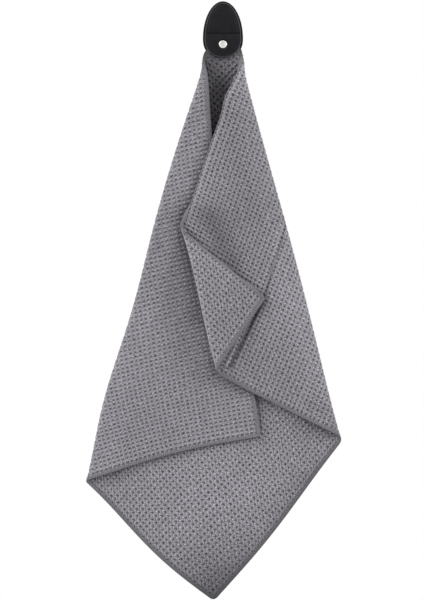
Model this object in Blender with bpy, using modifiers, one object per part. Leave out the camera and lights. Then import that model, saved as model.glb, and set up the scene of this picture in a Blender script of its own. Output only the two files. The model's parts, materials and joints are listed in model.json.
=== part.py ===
"""Golf towel on a magnetic leather patch.

A waffle towel hangs by one corner. The corner sits between the two leaves of an egg-shaped leather patch
and turns on the post of a press stud. The patch's upper half holds a magnet in a foam core, and its lower
front flap folds forward at a crease once the press stud is open.

World frame, metres: +Z up, +X to the right of someone facing the towel, -Y towards that person. The origin
is the centre of the patch's back face, straight behind the magnet.
"""

from math import asin, copysign, cos, pi, radians, sin

import bmesh
import bpy
from mathutils import Matrix, Vector

MM = 0.001

# ---- towel, flat ----
TOWEL_LONG = 500 * MM
TOWEL_SHORT = 400 * MM
CLOTH_THICK = 2.0 * MM
EDGE_BAND = 4.5 * MM  # width of the overlocked band along each edge
GAP = 0.3 * MM  # between pieces that touch
SEAM_GAP = 0.6 * MM  # between the cloth and its edge bands, which bend together

# ---- patch ----
LEATHER_THICK = 1.5 * MM
CORE_THICK = 3.0 * MM
EGG_HALF_WIDTH = 22.9 * MM
EGG_WIDEST_Z = -22.7 * MM
EGG_RISE = 42.6 * MM  # from the widest point up to the top
EGG_DROP = 23.4 * MM  # from the widest point down to the bottom
EGG_SQUARENESS = 2.25  # exponent of the lower half, 2 is an ellipse
FRONT_INSET = 2.4 * MM  # how much smaller the front leaf is, all round
CREASE_Z = -16.8 * MM
LEATHER_EDGE = 0.35 * MM  # rounding of the leather's edges
MAGNET_RADIUS = 11.0 * MM
EGG_STEPS = 40

# ---- how the towel hangs ----
STUD_Z = -29.6 * MM
CORNER_Z = -19.4 * MM  # the towel's corner inside the patch
SHEET_TURN = radians(-39.4)  # direction of the long edge from straight down
LEFT_CREASE = ((28 * MM, 0.0), (TOWEL_LONG, 204.7 * MM))
RIGHT_CREASE = ((0.0, 29 * MM), (265 * MM, TOWEL_SHORT))
CORNER_CREASE = ((0.0, 281 * MM), (103 * MM, TOWEL_SHORT))
LEFT_RADIUS = 4.0 * MM
RIGHT_RADIUS = 7.0 * MM
CORNER_RADIUS = 3.0 * MM
FLAP_SHEAR = 0.135  # how far the bottom hems ride up, per unit of width
LEFT_NARROWING = 0.96
RIGHT_NARROWING = 0.93
FLAT_REACH = 23.5 * MM  # the cloth is flat this far round the stud
FOLDED_REACH = 50 * MM  # and fully folded from here on
BEND_STEPS = 6
WEAVE_CUT = 50 * MM  # spacing of the plain cuts that let the sheet curve
CORNER_CUTS = [d * MM for d in range(32, 152, 8)]  # cuts across the held corner, as u + v

# ---- press stud ----
CAP_RADIUS = 4.7 * MM
SOCKET_RADIUS = 4.2 * MM
STUD_NOSE_RADIUS = 1.95 * MM
STUD_FLANGE_RADIUS = 3.9 * MM
RIVET_FLANGE_RADIUS = 4.3 * MM
CAP_POST_RADIUS = 1.3 * MM
RIVET_POST_RADIUS = 1.0 * MM
CLEARANCE = 0.3 * MM
SQUEEZED_CLOTH = 0.8 * MM  # the cloth's thickness under the press stud
SQUEEZE_MARGIN = 1.0 * MM  # the squeezed ring reaches this far past the socket
CLOTH_CUT_FRONT = 8 * MM  # cuts through the cloth reach this far forward
RIVET_SEAT_DEPTH = 0.8 * MM
SEAT_CUT_START = 1.0 * MM  # the seat's cutter starts this far behind the back face
RIVET_BACK = 0.1 * MM
RIVET_FLANGE_FRONT = 0.5 * MM
RIVET_TIP_GAP = 0.3 * MM  # the rivet's tip stays this far behind the stud's nose
FLANGE_THICK = 0.4 * MM
NOSE_HEIGHT = 1.0 * MM
NOSE_CHAMFER = 0.4 * MM
METAL_GAP = 0.1 * MM
SOCKET_GAP = 0.2 * MM
SOCKET_CHAMFER = 0.3 * MM
SOCKET_MOUTH_GAP = 0.45 * MM
CAP_RIM_HEIGHT = 0.3 * MM
CAP_DOME = 1.1 * MM
DOME_STEPS = 6
TURN_STEPS = 32

# ---- layers of the patch, as distances in front of its back face ----
CORE_BACK = LEATHER_THICK + GAP
CORE_FRONT = CORE_BACK + CORE_THICK
FRONT_BACK = CORE_FRONT + GAP
FRONT_FACE = FRONT_BACK + LEATHER_THICK
CLOTH_BACK = LEATHER_THICK + GAP
CLOTH_MIDDLE = CLOTH_BACK + CLOTH_THICK / 2
SQUEEZED_FRONT = CLOTH_BACK + SQUEEZED_CLOTH
FLANGE_BACK = SQUEEZED_FRONT + METAL_GAP
FLANGE_FRONT = FLANGE_BACK + FLANGE_THICK
NOSE_FRONT = FLANGE_FRONT + NOSE_HEIGHT
SOCKET_BACK = FLANGE_FRONT + SOCKET_GAP
SOCKET_FRONT = FRONT_BACK - SOCKET_GAP
SOCKET_ROOF = NOSE_FRONT + SOCKET_GAP
SOCKET_MOUTH_RADIUS = STUD_NOSE_RADIUS + SOCKET_MOUTH_GAP
CAP_RIM = FRONT_FACE + METAL_GAP

COLLECTION = "golf_towel"
CUTTERS = "golf_towel_cutters"


# ---------------------------------------------------------------- scene helpers


def clear_scene():
    for obj in list(bpy.data.objects):
        bpy.data.objects.remove(obj, do_unlink=True)


def new_collection(name):
    collection = bpy.data.collections.new(name)
    bpy.context.scene.collection.children.link(collection)
    return collection


def material(name, colour, roughness, metallic=0.0):
    made = bpy.data.materials.new(name)
    made.use_nodes = True
    shader = made.node_tree.nodes["Principled BSDF"]
    shader.inputs["Base Color"].default_value = (*colour, 1.0)
    shader.inputs["Roughness"].default_value = roughness
    shader.inputs["Metallic"].default_value = metallic
    return made


def pivot(name, place):
    """An empty on a joint's axis, which the joint's pieces are parented to."""
    empty = bpy.data.objects.new(name, None)
    empty.location = place
    empty.empty_display_size = 0.01
    PARTS.objects.link(empty)
    return empty


def add_part(name, mesh, finish, parent=None):
    """A piece whose mesh is in the face frame: X right, Y up, Z forward from the patch's back face."""
    obj = bpy.data.objects.new(name, mesh)
    mesh.materials.append(finish)
    PARTS.objects.link(obj)
    face_frame = Matrix.Rotation(pi / 2, 4, "X")
    if parent is None:
        obj.rotation_euler = (pi / 2, 0, 0)
        return obj
    mesh.transform(Matrix.Translation(-(face_frame.inverted() @ parent.location)))
    obj.rotation_euler = (pi / 2, 0, 0)
    obj.parent = parent
    return obj


def add_cutter(obj):
    CUTS.objects.link(obj)
    obj.hide_render = True
    obj.display_type = "WIRE"
    obj.rotation_euler = (pi / 2, 0, 0)
    return obj


def cut(obj, cutter):
    boolean = obj.modifiers.new("cut_" + cutter.name, "BOOLEAN")
    boolean.operation = "DIFFERENCE"
    boolean.object = cutter
    boolean.solver = "EXACT"


def disc_cutter(name, radius, back, front, centre_y):
    """A cylinder along the face frame's Z, between two distances from the back face."""
    mesh = bpy.data.meshes.new(name)
    bm = bmesh.new()
    place = Matrix.Translation((0, centre_y, (back + front) / 2))
    bmesh.ops.create_cone(
        bm,
        cap_ends=True,
        segments=TURN_STEPS,
        radius1=radius,
        radius2=radius,
        depth=front - back,
        matrix=place,
    )
    bm.to_mesh(mesh)
    bm.free()
    return add_cutter(bpy.data.objects.new(name, mesh))


# ---------------------------------------------------------------- leather patch


def egg_point(angle, inset):
    """The patch's outline at an angle from +X, anticlockwise, drawn in by inset."""
    half = EGG_HALF_WIDTH - inset
    if sin(angle) >= 0:
        return half * cos(angle), EGG_WIDEST_Z + (EGG_RISE - inset) * sin(angle)
    power = 2 / EGG_SQUARENESS
    across = copysign(abs(cos(angle)) ** power, cos(angle))
    return half * across, EGG_WIDEST_Z - (EGG_DROP - inset) * abs(sin(angle)) ** power


def crease_angle(inset, height):
    return asin((height - EGG_WIDEST_Z) / (EGG_RISE - inset))


def egg_arc(inset, start, end, steps):
    return [egg_point(start + (end - start) * i / steps, inset) for i in range(steps + 1)]


def circle(radius, centre_y, steps=TURN_STEPS):
    turns = [2 * pi * i / steps for i in range(steps)]
    return [(radius * cos(t), centre_y + radius * sin(t)) for t in turns]


def plate(name, outlines, back, thickness, rounding):
    """A flat piece cut from sheet: closed outlines, the first outside and the rest holes, extruded."""
    curve = bpy.data.curves.new(name + "_outline", "CURVE")
    curve.dimensions = "2D"
    curve.fill_mode = "BOTH"
    curve.extrude = thickness / 2
    for outline in outlines:
        spline = curve.splines.new("POLY")
        spline.points.add(len(outline) - 1)
        for point, (x, y) in zip(spline.points, outline):
            point.co = (x, y, 0, 1)
        spline.use_cyclic_u = True
    drawn = bpy.data.objects.new(name + "_outline", curve)
    PARTS.objects.link(drawn)
    bpy.context.view_layer.update()
    seen = drawn.evaluated_get(bpy.context.evaluated_depsgraph_get())
    mesh = bpy.data.meshes.new_from_object(seen)
    bpy.data.objects.remove(drawn)
    bpy.data.curves.remove(curve)
    mesh.name = name
    mesh.materials.clear()
    bm = bmesh.new()
    bm.from_mesh(mesh)
    bmesh.ops.remove_doubles(bm, verts=bm.verts, dist=1e-6)
    bmesh.ops.dissolve_limit(bm, angle_limit=radians(0.5), verts=bm.verts, edges=bm.edges)
    bmesh.ops.translate(bm, verts=bm.verts, vec=(0, 0, back + thickness / 2))
    if rounding:
        rim = [e for e in bm.edges if len(e.link_faces) == 2 and e.calc_face_angle() > radians(60)]
        outer = [e for e in rim if abs(e.verts[0].co.z - e.verts[1].co.z) < thickness / 2]
        bmesh.ops.bevel(bm, geom=outer, offset=rounding, segments=2, affect="EDGES", profile=0.5)
    bm.to_mesh(mesh)
    bm.free()
    return mesh


def make_patch(leather, foam, steel):
    whole = egg_arc(0.0, 0.0, 2 * pi, 2 * EGG_STEPS)[:-1]
    rivet_hole = circle(RIVET_POST_RADIUS + CLEARANCE, STUD_Z, TURN_STEPS)
    back_mesh = plate("patch_back_leaf", [whole, rivet_hole], 0.0, LEATHER_THICK, LEATHER_EDGE)
    back_leaf = add_part("patch_back_leaf", back_mesh, leather)
    seat_radius = RIVET_FLANGE_RADIUS + CLEARANCE
    seat = disc_cutter("rivet_seat", seat_radius, -SEAT_CUT_START, RIVET_SEAT_DEPTH, STUD_Z)
    cut(back_leaf, seat)

    above = CREASE_Z + GAP / 2
    low = crease_angle(FRONT_INSET, above)
    upper = egg_arc(FRONT_INSET, low, pi - low, EGG_STEPS)
    magnet_hole = circle(MAGNET_RADIUS + GAP, 0.0)
    core_mesh = plate("magnet_core", [upper, magnet_hole], CORE_BACK, CORE_THICK, 0.0)
    add_part("magnet_core", core_mesh, foam)
    magnet_mesh = plate("magnet_disc", [circle(MAGNET_RADIUS, 0.0)], CORE_BACK, CORE_THICK, LEATHER_EDGE)
    add_part("magnet_disc", magnet_mesh, steel)
    cover_mesh = plate("patch_front_cover", [upper], FRONT_BACK, LEATHER_THICK, LEATHER_EDGE)
    add_part("patch_front_cover", cover_mesh, leather)


def make_flap(leather, parent):
    below = CREASE_Z - GAP / 2
    high = crease_angle(FRONT_INSET, below)
    lower = egg_arc(FRONT_INSET, -pi - high, high, EGG_STEPS)
    hole = circle(CAP_POST_RADIUS + CLEARANCE, STUD_Z, TURN_STEPS)
    mesh = plate("patch_front_flap", [lower, hole], FRONT_BACK, LEATHER_THICK, LEATHER_EDGE)
    add_part("patch_front_flap", mesh, leather, parent)


# ---------------------------------------------------------------- press stud


def turned(name, profile, finish, parent=None):
    """A piece turned about the press stud's axis. The profile is (radius, distance in front of the
    back face) pairs, down the outer side from front to back and closed by the last pair."""
    mesh = bpy.data.meshes.new(name)
    bm = bmesh.new()
    verts = [bm.verts.new((r, 0, z)) for r, z in profile]
    closed = profile[0][0] > 0
    pairs = list(zip(verts, verts[1:]))
    if closed:
        pairs.append((verts[-1], verts[0]))
    for a, b in pairs:
        bm.edges.new((a, b))
    bm.to_mesh(mesh)
    bm.free()
    obj = bpy.data.objects.new(name, mesh)
    PARTS.objects.link(obj)
    screw = obj.modifiers.new("turn", "SCREW")
    screw.axis = "Z"
    screw.steps = TURN_STEPS
    screw.render_steps = TURN_STEPS
    screw.use_merge_vertices = True
    screw.merge_threshold = 0.00001
    screw.use_smooth_shade = True
    obj.rotation_euler = (pi / 2, 0, 0)
    obj.location = (0, 0, STUD_Z)
    if parent is not None:
        obj.parent = parent
        obj.location = Vector((0, 0, STUD_Z)) - parent.location
    mesh.materials.append(finish)
    return obj


def dome(radius, base, height, steps):
    """Points of a shallow dome from its centre out to its rim."""
    turns = [pi / 2 * i / steps for i in range(steps + 1)]
    return [(radius * sin(t), base + height * cos(t)) for t in turns]


def make_snap(metal, flap):
    post_end = SOCKET_ROOF + METAL_GAP
    cap = dome(CAP_RADIUS, CAP_RIM + CAP_RIM_HEIGHT, CAP_DOME - CAP_RIM_HEIGHT, DOME_STEPS)
    cap += [(CAP_RADIUS, CAP_RIM), (CAP_POST_RADIUS, CAP_RIM)]
    cap += [(CAP_POST_RADIUS, post_end), (0.0, post_end)]
    turned("snap_cap", cap, metal, flap)

    bore = CAP_POST_RADIUS + CLEARANCE
    socket = [(bore, SOCKET_FRONT), (SOCKET_RADIUS - SOCKET_CHAMFER, SOCKET_FRONT)]
    socket += [(SOCKET_RADIUS, SOCKET_FRONT - SOCKET_CHAMFER), (SOCKET_RADIUS, SOCKET_BACK)]
    socket += [(SOCKET_MOUTH_RADIUS, SOCKET_BACK), (SOCKET_MOUTH_RADIUS, SOCKET_ROOF)]
    socket += [(bore, SOCKET_ROOF)]
    turned("snap_socket", socket, metal, flap)

    stud_bore = RIVET_POST_RADIUS + CLEARANCE
    stud = [(stud_bore, NOSE_FRONT), (STUD_NOSE_RADIUS - NOSE_CHAMFER, NOSE_FRONT)]
    stud += [(STUD_NOSE_RADIUS, NOSE_FRONT - NOSE_CHAMFER), (STUD_NOSE_RADIUS, FLANGE_FRONT)]
    stud += [(STUD_FLANGE_RADIUS, FLANGE_FRONT), (STUD_FLANGE_RADIUS, FLANGE_BACK)]
    stud += [(stud_bore, FLANGE_BACK)]
    turned("snap_stud", stud, metal)

    rivet_tip = NOSE_FRONT - RIVET_TIP_GAP
    rivet = [(0.0, rivet_tip), (RIVET_POST_RADIUS, rivet_tip)]
    rivet += [(RIVET_POST_RADIUS, RIVET_FLANGE_FRONT), (RIVET_FLANGE_RADIUS, RIVET_FLANGE_FRONT)]
    rivet += [(RIVET_FLANGE_RADIUS, RIVET_BACK), (0.0, RIVET_BACK)]
    turned("snap_rivet", rivet, metal)


# ---------------------------------------------------------------- towel


def smooth(x):
    x = min(max(x, 0.0), 1.0)
    return x * x * (3 - 2 * x)


def hung(u, v):
    """Where a point of the flat sheet lies when the sheet hangs unfolded: u runs along the long edge
    and v along the short edge from the held corner."""
    along = Vector((sin(SHEET_TURN), -cos(SHEET_TURN)))
    across = Vector((-along.y, along.x))
    return Vector((0, CORNER_Z)) + u * along + v * across


class Crease:
    """A fold line. A point's run is its distance along the line from the first end, and its reach
    its signed distance past the line, on the side that folds over."""

    def __init__(self, first, second, folds_over, radius):
        self.start = first
        self.along = (second - first).normalized()
        self.out = Vector((-self.along.y, self.along.x))
        if (folds_over - first).dot(self.out) < 0:
            self.out = -self.out
        self.radius = radius

    def run_and_reach(self, point):
        from_start = point - self.start
        return from_start.dot(self.along), from_start.dot(self.out)

    def bend(self, reach, height, turn):
        """The folded reach and height of a point that stands height proud of the sheet."""
        width = pi * self.radius
        turned_by = turn * min(max((reach + width / 2) / width, 0.0), 1.0)
        past = max(reach - width / 2, 0.0)
        before = min(reach, -width / 2)
        arc = width / max(turn, 1e-4)
        new_reach = before + arc * sin(turned_by) + past * cos(turned_by)
        new_height = arc * (1 - cos(turned_by)) + past * sin(turned_by)
        return new_reach - height * sin(turned_by), new_height + height * cos(turned_by)


def sheet_crease(ends, folds_over, radius):
    return Crease(Vector(ends[0]), Vector(ends[1]), Vector(folds_over), radius)


def hung_crease(ends, folds_over, radius):
    return Crease(hung(*ends[0]), hung(*ends[1]), hung(*folds_over), radius)


def fold_sheet(u, v, height):
    """The folded place, in the face frame, of a point of the flat sheet. Height is towards the viewer
    on the unfolded sheet. The free corner folds back first, then the two sides fold forward."""
    run, reach = FREE_CORNER.run_and_reach(Vector((u, v)))
    reach, back = FREE_CORNER.bend(reach, -height, pi)
    flat = FREE_CORNER.start + run * FREE_CORNER.along + reach * FREE_CORNER.out
    place = hung(flat.x, flat.y)
    stud = Vector((0, STUD_Z))
    folded = smooth(((place - stud).length - FLAT_REACH) / (FOLDED_REACH - FLAT_REACH))
    forward = -back
    moved = place.copy()
    for crease, narrowing in ((LEFT_FOLD, LEFT_NARROWING), (RIGHT_FOLD, RIGHT_NARROWING)):
        run, reach = crease.run_and_reach(place)
        if reach < -pi * crease.radius / 2 or not folded:
            continue
        over = max(reach, 0.0)
        eased = reach - over * (1 - narrowing) * folded
        new_reach, forward = crease.bend(eased, -back, pi * folded)
        moved += (new_reach - reach) * crease.out - over * FLAP_SHEAR * folded * crease.along
    return moved.x, moved.y, CLOTH_MIDDLE + forward


def score(bm, point, normal):
    """Cuts the sheet along one straight line without parting it."""
    everything = bm.verts[:] + bm.edges[:] + bm.faces[:]
    bmesh.ops.bisect_plane(
        bm, geom=everything, dist=1e-7, plane_co=(*point, 0), plane_no=(*normal, 0)
    )


def score_bend(bm, ends, folds_over, radius):
    """The lines across one fold's round part."""
    crease = sheet_crease(ends, folds_over, radius)
    width = pi * radius
    for i in range(BEND_STEPS + 1):
        offset = width * (i / BEND_STEPS - 0.5)
        score(bm, crease.start + offset * crease.out, crease.out)


def sheet_piece(name, outline, finish, parent):
    """A piece of the towel, cut flat, scored along its folds and folded."""
    mesh = bpy.data.meshes.new(name)
    bm = bmesh.new()
    corners = [bm.verts.new((u, v, -CLOTH_THICK / 2)) for u, v in outline]
    made = bmesh.ops.extrude_face_region(bm, geom=[bm.faces.new(corners)])
    top = [e for e in made["geom"] if isinstance(e, bmesh.types.BMVert)]
    bmesh.ops.translate(bm, verts=top, vec=(0, 0, CLOTH_THICK))
    for ends, folds_over, radius in FOLDS:
        score_bend(bm, ends, folds_over, radius)
    for step in range(1, int(TOWEL_LONG / WEAVE_CUT)):
        score(bm, (step * WEAVE_CUT, 0), (1, 0))
        score(bm, (0, step * WEAVE_CUT), (0, 1))
    for distance in CORNER_CUTS:
        score(bm, (distance / 2, distance / 2), (1, 1))
    bmesh.ops.triangulate(bm, faces=bm.faces[:])
    bmesh.ops.recalc_face_normals(bm, faces=bm.faces[:])
    for vert in bm.verts:
        vert.co = fold_sheet(*vert.co)
    bm.to_mesh(mesh)
    bm.free()
    return add_part(name, mesh, finish, parent)


def make_towel(cloth, thread, parent):
    inner = EDGE_BAND + SEAM_GAP
    far_u = TOWEL_LONG - inner
    far_v = TOWEL_SHORT - inner
    field = sheet_piece(
        "towel_cloth", [(inner, inner), (far_u, inner), (far_u, far_v), (inner, far_v)], cloth, parent
    )
    squeeze = disc_cutter(
        "stud_squeeze", SOCKET_RADIUS + SQUEEZE_MARGIN, SQUEEZED_FRONT, CLOTH_CUT_FRONT, STUD_Z
    )
    cut(field, squeeze)
    hole = disc_cutter("stud_hole", RIVET_POST_RADIUS + CLEARANCE, 0.0, CLOTH_CUT_FRONT, STUD_Z)
    cut(field, hole)
    corners = [(0, 0), (TOWEL_LONG, 0), (TOWEL_LONG, TOWEL_SHORT), (0, TOWEL_SHORT)]
    names = ["edge_inner_long", "edge_left_short", "edge_right_long", "edge_corner_short"]
    for i, name in enumerate(names):
        a, b = Vector(corners[i]), Vector(corners[(i + 1) % 4])
        along = (b - a).normalized()
        inward = Vector((-along.y, along.x))
        band = [a + GAP * along, b - GAP * along]
        band += [b - (EDGE_BAND + GAP) * along + EDGE_BAND * inward]
        band += [a + (EDGE_BAND + GAP) * along + EDGE_BAND * inward]
        edge = sheet_piece(name, band, thread, parent)
        if corners[0] in (corners[i], corners[(i + 1) % 4]):
            cut(edge, squeeze)


FOLDS = (
    (LEFT_CREASE, (TOWEL_LONG, 0.0), LEFT_RADIUS),
    (RIGHT_CREASE, (0.0, TOWEL_SHORT), RIGHT_RADIUS),
    (CORNER_CREASE, (0.0, TOWEL_SHORT), CORNER_RADIUS),
)
FREE_CORNER = sheet_crease(*FOLDS[2])
LEFT_FOLD = hung_crease(*FOLDS[0])
RIGHT_FOLD = hung_crease(*FOLDS[1])


clear_scene()
PARTS = new_collection(COLLECTION)
CUTS = new_collection(CUTTERS)

BLACK_LEATHER = material("black_leather", (0.022, 0.021, 0.025), 0.6)
GREY_WAFFLE = material("grey_waffle_cloth", (0.24, 0.23, 0.26), 0.95)
GREY_THREAD = material("grey_edge_thread", (0.17, 0.165, 0.19), 0.9)
BRIGHT_METAL = material("bright_snap_metal", (0.82, 0.81, 0.79), 0.25, 1.0)
MAGNET_METAL = material("nickel_magnet", (0.55, 0.55, 0.56), 0.35, 1.0)
BLACK_FOAM = material("black_core_foam", (0.03, 0.03, 0.03), 0.9)

FLAP_PIVOT = pivot("flap_pivot", (0, -FRONT_FACE, CREASE_Z))
TOWEL_PIVOT = pivot("towel_pivot", (0, -CLOTH_MIDDLE, STUD_Z))
bpy.context.view_layer.update()

make_patch(BLACK_LEATHER, BLACK_FOAM, MAGNET_METAL)
make_flap(BLACK_LEATHER, FLAP_PIVOT)
make_snap(BRIGHT_METAL, FLAP_PIVOT)
make_towel(GREY_WAFFLE, GREY_THREAD, TOWEL_PIVOT)
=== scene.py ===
"""The looks of a golf towel on a magnetic leather patch.

Metres, +Z up, the viewer at -Y. A waffle towel, held by one corner in an egg-shaped leather patch, is cut
flat, given its weave, and folded the way it hangs: both sides forward over the back panel, and the free
corner forward once more.
"""

import json
from math import cos, pi, radians, sin

import bmesh
import bpy
import numpy as np
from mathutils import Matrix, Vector

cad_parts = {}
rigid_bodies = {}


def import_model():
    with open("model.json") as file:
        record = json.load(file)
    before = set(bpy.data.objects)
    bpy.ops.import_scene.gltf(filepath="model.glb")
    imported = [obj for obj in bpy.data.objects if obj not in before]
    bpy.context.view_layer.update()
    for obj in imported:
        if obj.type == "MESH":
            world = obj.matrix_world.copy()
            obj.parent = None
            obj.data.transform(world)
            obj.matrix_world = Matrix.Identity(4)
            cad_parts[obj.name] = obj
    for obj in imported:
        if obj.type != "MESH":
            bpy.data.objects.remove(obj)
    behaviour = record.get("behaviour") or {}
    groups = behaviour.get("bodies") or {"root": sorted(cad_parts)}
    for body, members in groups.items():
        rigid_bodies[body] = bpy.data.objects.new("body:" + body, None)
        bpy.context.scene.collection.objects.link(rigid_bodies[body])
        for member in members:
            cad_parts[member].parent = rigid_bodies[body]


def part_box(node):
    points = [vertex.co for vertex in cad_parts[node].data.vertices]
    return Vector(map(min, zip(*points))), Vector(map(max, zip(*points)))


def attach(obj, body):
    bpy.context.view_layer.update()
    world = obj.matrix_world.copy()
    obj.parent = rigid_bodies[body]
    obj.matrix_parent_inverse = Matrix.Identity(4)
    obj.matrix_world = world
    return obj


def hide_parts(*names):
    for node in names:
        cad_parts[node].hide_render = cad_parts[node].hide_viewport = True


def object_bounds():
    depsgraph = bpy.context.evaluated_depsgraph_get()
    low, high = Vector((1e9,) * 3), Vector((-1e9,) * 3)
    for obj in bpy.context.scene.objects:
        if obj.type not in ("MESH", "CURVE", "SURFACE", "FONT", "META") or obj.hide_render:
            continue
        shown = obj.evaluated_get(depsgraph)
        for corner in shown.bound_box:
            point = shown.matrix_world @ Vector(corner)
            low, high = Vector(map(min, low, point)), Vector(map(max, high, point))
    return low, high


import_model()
CAD_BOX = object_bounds()

MM = 0.001

# ---------------------------------------------------------------- places read from the frame


def node_corners(node):
    """Lowest and highest corner of a CAD node at rest."""
    low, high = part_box(node)
    return Vector(low), Vector(high)


STUD_LOW, STUD_HIGH = node_corners("snap_stud")
LEAF_LOW, LEAF_HIGH = node_corners("patch_back_leaf")
COVER_LOW, COVER_HIGH = node_corners("patch_front_cover")
FLAP_LOW, FLAP_HIGH = node_corners("patch_front_flap")
CAP_LOW, CAP_HIGH = node_corners("snap_cap")

STUD_X, STUD_Z = (STUD_LOW.x + STUD_HIGH.x) / 2, (STUD_LOW.z + STUD_HIGH.z) / 2
CAP_X, CAP_Z = (CAP_LOW.x + CAP_HIGH.x) / 2, (CAP_LOW.z + CAP_HIGH.z) / 2

# ---------------------------------------------------------------- the leather patch

EGG_WIDEST_Z = -22.7 * MM
EGG_SQUARENESS = 2.25
FRONT_INSET = 2.2 * MM
CREASE_Z = FLAP_HIGH.z
CREASE_GAP = 0.3 * MM
CREASE_ROUND = 0.45 * MM
RIM_ROUND = 0.7 * MM
RIM_LINE = 2.6 * MM  # a creased line just inside the rim
RIM_LINE_WIDTH = 0.5 * MM
RIM_LINE_DEPTH = 0.25 * MM
PAD_RISE = 0.5 * MM  # the leather swells over its core
PAD_FROM_RIM = 9 * MM  # and reaches that height this far in from the rim and from the crease
PAD_FROM_CREASE = 7 * MM
SEAT_DEPTH = 0.5 * MM  # the cap sits in a dip
SEAT_OVERLAP = 0.3 * MM  # whose slope starts just under the cap's rim
SEAT_SLOPE = 2.6 * MM
SKIRT_WIDTH = 0.7 * MM
RIM_HIGHLIGHT_LINE = 0.35 * MM  # a painted highlight on the leather's rounded cut edge
RIM_HIGHLIGHT_WIDTH = 0.4 * MM
LEAF_GRID = 90  # mesh lines each way on a leather leaf
OUTLINE_POINTS = 1441
COARSE_OUTLINE_POINTS = 361  # enough to tell how far the cloth is from the leather
WELD = 0.005 * MM  # points nearer than this are one point

CAP_RADIUS = 4.5 * MM
CAP_POINTS = 96
CAP_POLE = 0.002 * MM  # the smallest ring, which the weld closes
# A rolled rim round a slightly dished face: share of the radius, and depth behind the rim's front.
CAP_PROFILE = (
    (0.0, 0.28 * MM),
    (0.3, 0.27 * MM),
    (0.55, 0.2 * MM),
    (0.68, 0.07 * MM),
    (0.78, 0.0),
    (0.88, 0.07 * MM),
    (0.96, 0.28 * MM),
    (1.0, 0.6 * MM),
    (0.97, 1.1 * MM),
    (0.0, 1.1 * MM),
)

# ---------------------------------------------------------------- the flat towel

TOWEL_LONG = 500 * MM
TOWEL_SHORT = 400 * MM
LONG_PITCH = TOWEL_LONG / 95  # waffle cells along the long and the short edge
SHORT_PITCH = TOWEL_SHORT / 76
CELL_STEPS = 5  # mesh steps across one waffle cell
RIDGE_HEIGHT = 1.2 * MM
PIT_SHARPNESS = 1.2
PIT_SLANT = 0.9 * MM  # the waffle's pits lean over by this much
YARN_STRAY = 2.6 * MM  # how far the yarns' colours wander off the weave
UNEVEN = 0.14 * MM  # how far uneven yarns pull the weave itself about
UNEVEN_STEPS = ((7.3 * MM, 12.1 * MM), (-15.7 * MM, 8.9 * MM))  # wavelengths of two waves, along and across
UNEVEN_SHIFT = 2.0
WEB_HALF = 0.1 * MM  # half the web left between a pit in front and a pit behind
CLOTH_INSET = 1.5 * MM  # the cloth's raw edge stops this far inside the edge band
EDGE_HALF = 0.5 * MM  # half its thickness there
EDGE_FLAT = 2 * MM  # the weave starts this far in, and grows over the next stretch
EDGE_GROWTH = 3 * MM
BAND_WIDTH = 4.4 * MM
BAND_HALF = 1.35 * MM
BAND_CORNER = 3.2 * MM
BAND_STEP = 0.8 * MM
BAND_POINTS = 18
BAND_ARC_POINTS = 7  # on each half corner
BAND_SQUARENESS = 0.6  # 1 would give the band an elliptical section
WRAP_PITCH = 1.7 * MM  # its wrapped threads swell it a little
WRAP_SWELL = 0.05
THREAD_PITCH = 2.5 * MM
STITCH_PITCH = 3.6 * MM
STITCH_LENGTH = 2.7 * MM
STITCH_RADIUS = 0.45 * MM
STITCH_END = 0.2  # its ends' share of that radius
STITCH_TAPER = pi / 2.3
STITCH_POINTS, STITCH_RINGS = 8, 5
STITCHES_SKIPPED = 8  # path points without a stitch at each corner
STITCH_SEAT = 0.9  # stitches lie at this share of the band's half thickness

# ---------------------------------------------------------------- how it hangs, as in the CAD model

CORNER_DROP = 10.2 * MM  # the held corner above the stud
SHEET_TURN = radians(-39.4)  # how far the sheet's long edge leans from straight down
LEFT_CREASE = ((28 * MM, 0.0), (TOWEL_LONG, 204.7 * MM))
RIGHT_CREASE = ((0.0, 29 * MM), (265 * MM, TOWEL_SHORT))
CORNER_CREASE = ((0.0, 270 * MM), (104 * MM, TOWEL_SHORT))
LEFT_RADIUS = 4.5 * MM
RIGHT_RADIUS = 8.0 * MM
CORNER_RADIUS = 5.0 * MM
# The next three depart from a plain fold of uncut cloth, to follow the outline in the photo.
FLAP_SHEAR = 0.135  # folded cloth slips down along its crease by this share of its distance past it
LEFT_NARROWING = 0.96  # and gathers to this share of its width
RIGHT_NARROWING = 0.93
LEFT_PRESSED = 0.45  # the folds are pressed to this share of their depth at the crease
RIGHT_PRESSED = 0.3
PRESS_REACH = 34 * MM
FLAT_REACH = 9 * MM  # the cloth lies flat this near the stud
FOLDED_REACH = 21 * MM  # and is fully folded from here on
OPENING = 10 * MM  # below the leather, the folds open out over this length
OPENED_AT_EDGE = 0.15  # and are open by this share at its edge
PINCHED = 0.13  # depth of the folds between the leaves, as a share
CLOTH_MIDDLE = 2.9 * MM  # the back panel's middle, in front of the patch's back face
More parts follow.
